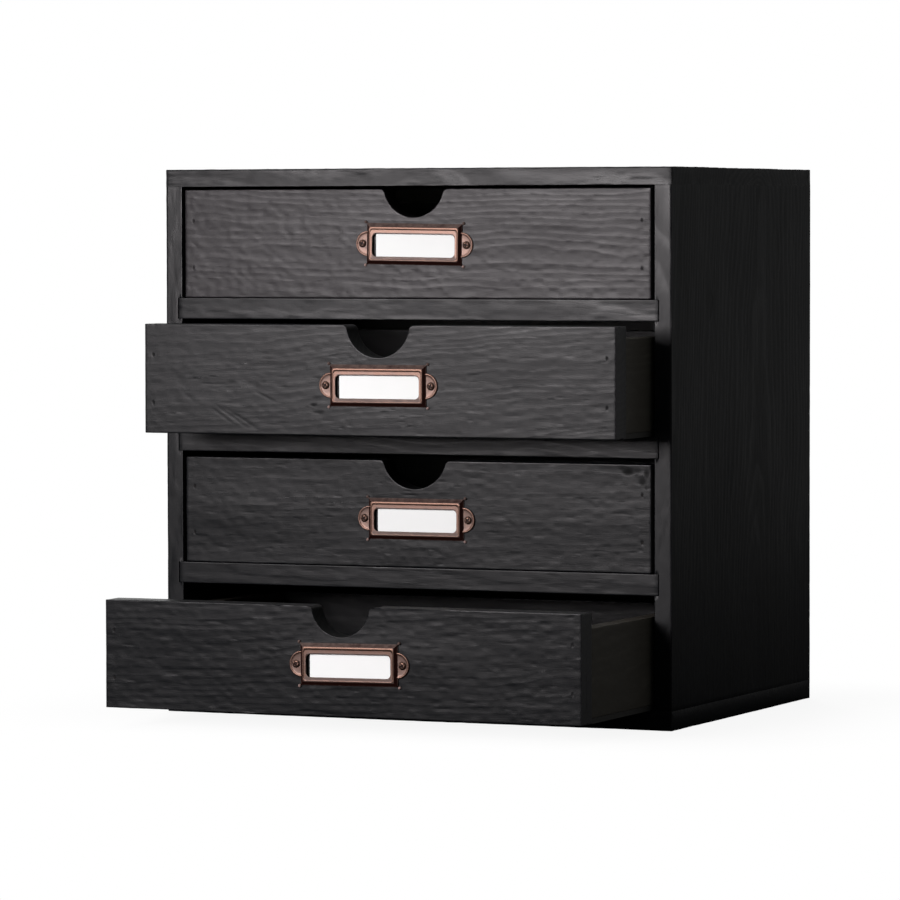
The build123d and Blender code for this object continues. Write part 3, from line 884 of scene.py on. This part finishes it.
def screw_grid(side, turned):
    """A screw as rings round its axis, from the middle of the head outwards and down the shank, and how
    bare its copper is. The head is a flattened dome, less the depth of a cross whose arms fade out."""
    angle = np.linspace(0.0, 2.0 * math.pi, screw_turns, endpoint=False)
    head = head_radius * np.sin(np.linspace(0.02, math.pi / 2, head_rings))[:, None]
    dome = head_height * np.sqrt(1.0 - (head / head_radius) ** 4 * 0.985)
    u, v = abs(head * np.cos(angle)), abs(head * np.sin(angle))
    arms = [(1.0 - smooth_step(recess_half_width, recess_half_width + 0.14, across))
            * (1.0 - smooth_step(recess_arm - 0.3, recess_arm, along)) for across, along in ((u, v), (v, u))]
    cross = np.maximum(*arms)
    shank_out = np.array([head_radius, shank_radius, shank_radius, shank_radius, 0.15])[:, None]
    shank_height = np.array([ear_dish, ear_dish, -2.0, 2.0 - shank_length, -shank_length])[:, None]
    shape = (len(shank_out), len(angle))
    out = np.concatenate((head, shank_out))
    height = np.concatenate((dome + ear_dish - recess_depth * cross, np.broadcast_to(shank_height, shape)))
    bright = np.concatenate((1.0 - 1.1 * cross - 0.3 * smooth_step(0.8, 1.0, head / head_radius),
                             np.full(shape, 0.3)))
    x = side * screw_out + out * np.cos(angle + turned)
    return np.stack((x, -height, out * np.sin(angle + turned)), axis=-1), bright


for i, drawer in enumerate(drawers):
    pair = [(*screw_grid(side, 0.5 + 1.3 * i + 0.9 * side), False) for side in (-1, 1)]
    show(drawer + "_round_head_screws", copper_mesh(drawer + "_screws", i, pair), drawer,
         antique_copper, "copper_screw", drawer + "_holder_screws")

# Cards
# Blank white card slipped into the holder from the left, a little short of its end.
card_stock, card_shader, start = new_material("white_card", Specular_IOR_Level=0.3)
place = start.node("TexCoord", output="Object")
pulp = place.noise((1600.0, 1600.0, 1600.0), 3.0, 0.6)
cast = place.noise((90.0, 90.0, 90.0), 2.0, 0.5)
pulp_bump = start.node("Bump", None, {"Strength": 0.15, "Distance": 0.00005, "Height": pulp})
feed(card_shader, {"Base Color": cast.blend((0.86, 0.9, 0.88), (0.9, 0.93, 0.92)),
                   "Roughness": 0.7 + pulp * 0.15, "Normal": pulp_bump})
refinish([drawer + "_label_card" for drawer in drawers], card_stock)

# Floor and backdrop
# A round pale studio floor that keeps the cabinet's shadow and turns white away from it. Only the camera
# sees it pale, so that the stained wood reflects a dark floor, as beside black cloth in a studio.
floor_radius = 1.2
floor_turns = 96
foot_half = (0.13, 0.0925, 0.0)
shadow_reach = 0.12
shadow_white = 0.9
backdrop_near = 0.2
backdrop_far = 0.5
backdrop_way = (-0.4067, 0.9135, 0.0)
backdrop_edge = (0.93, 0.98)


def seen_white(start, spot_mask):
    """1 for camera rays, and for glossy and transmission rays where the mask lets them see the backdrop."""
    camera, glossy, through = [start.node("LightPath", output=kind) for kind in
                               ("Is Camera Ray", "Is Glossy Ray", "Is Transmission Ray")]
    bounced = start.maths("MAXIMUM", glossy, through) * spot_mask
    return start.maths("MAXIMUM", bounced, camera)


floor_turn = np.linspace(0.0, 2.0 * math.pi, floor_turns, endpoint=False)
floor_edge = np.stack((np.cos(floor_turn), np.sin(floor_turn), 0.0 * floor_turn), axis=-1) * floor_radius
floor_mesh = bpy.data.meshes.new("floor")
floor_mesh.from_pydata(floor_edge.tolist(), [], [list(range(floor_turns))])
studio_floor = new_object("studio_floor", floor_mesh)
pale_floor, floor_shader, start = new_material("pale_floor", Roughness=0.9, Specular_IOR_Level=0.0)
seen = start.node("LightPath", output="Is Camera Ray")
feed(floor_shader, {"Base Color": seen.blend((0.03, 0.03, 0.03), (0.85, 0.85, 0.85))})
place = start.node("TexCoord", output="Object")
beside = start.node("VectorMath", {"operation": "ABSOLUTE"}, {0: place}) - foot_half
beside = start.maths("MAXIMUM", beside, 0.0)
away = start.node("VectorMath", {"operation": "LENGTH"}, {0: beside}, "Value")
far = start.node("VectorMath", {"operation": "LENGTH"}, {0: place}, "Value")
behind = start.node("VectorMath", {"operation": "DOT_PRODUCT"}, {0: place, 1: backdrop_way}, "Value")
behind = (behind / far).step(*backdrop_edge) * far.step(backdrop_near, backdrop_far)
clear = away.step(0.0, shadow_reach) * (1.0 - shadow_white) + shadow_white
white = seen_white(start, behind) * clear
glow = start.node("Emission", None, {"Color": (1.0, 1.0, 1.0), "Strength": 1.0})
plain = Wire(pale_floor.node_tree, floor_shader.outputs[0])
surface = start.node("MixShader", None, {0: white, 1: plain, 2: glow})
pale_floor.node_tree.links.new(surface.socket, pale_floor.node_tree.nodes["Material Output"].inputs[0])
floor_mesh.materials.append(pale_floor)

# World
# White where the camera sees it, and a faint even light from all round.
fill_level = 0.13
world = bpy.data.worlds.new("studio")
bpy.context.scene.world = world
world.use_nodes = True
sky = world.node_tree.nodes["Background"]
sky.inputs["Color"].default_value = (1.0, 1.0, 1.0, 1.0)
start = Wire(world.node_tree)
heading = start.node("TexCoord", output="Generated")
facing = start.node("VectorMath", {"operation": "DOT_PRODUCT"}, {0: heading, 1: backdrop_way}, "Value")
white = seen_white(start, facing.step(*backdrop_edge))
level = white * (1.0 - fill_level) + fill_level
world.node_tree.links.new(level.socket, sky.inputs["Strength"])

# Lamps
# A soft key lamp near the cabinet, left of the camera, so that its light falls off downwards, one
# overhead and two fills. The rear fill is kept out of reflections, or the top board would shine.


def lamp(name, place, aim, wide, high, power, tint=(1.0, 1.0, 1.0)):
    """An area lamp at a place, turned to a point."""
    light = bpy.data.lights.new(name, "AREA")
    light.shape = "RECTANGLE"
    light.size = wide
    light.size_y = high
    light.energy = power
    light.color = tint
    stand = new_object(name, light)
    stand.location = place
    stand.rotation_euler = (Vector(aim) - Vector(place)).to_track_quat("-Z", "Y").to_euler()
    return stand


lamp("key", (-0.362, -1.134, 0.346), (0.0, -0.09, 0.15), 0.446, 0.338, 13.2, (1.0, 0.945, 0.96))
lamp("overhead", (0.0, 0.0, 1.3), (0.0, 0.0, 0.0), 0.8, 0.8, 6.0)
lamp("right_fill", (1.0, 0.1, 0.5), (0.13, 0.0, 0.13), 0.6, 0.6, 0.4)
rear_fill = lamp("rear_fill", (-0.5, 1.1, 0.8), (0.0, 0.09, 0.13), 0.6, 0.6, 12.0)
rear_fill.visible_glossy = False

# Camera
# A long lens a little to the right of the cabinet and near the level of its top.
focal_pixels = 5231.61
image_width = 900
sensor = 36.0
yaw, pitch, roll = -0.41887, -0.04317, -0.00193
camera_place = Vector((1.0127, -2.3255, 0.2336))
ahead = Vector((math.sin(yaw) * math.cos(pitch), math.cos(yaw) * math.cos(pitch), math.sin(pitch)))
level_right = Vector((math.cos(yaw), -math.sin(yaw), 0.0))
level_up = level_right.cross(ahead)
right = math.cos(roll) * level_right + math.sin(roll) * level_up
upward = math.cos(roll) * level_up - math.sin(roll) * level_right
camera = bpy.data.cameras.new("camera")
camera.sensor_width = sensor
camera.lens = focal_pixels / image_width * sensor
camera.clip_start = 0.05
tripod = new_object("camera", camera)
tripod.matrix_world = Matrix.Translation(camera_place) @ Matrix((right, upward, -ahead)).transposed().to_4x4()
bpy.context.scene.camera = tripod
bpy.context.scene.view_settings.view_transform = "Standard"
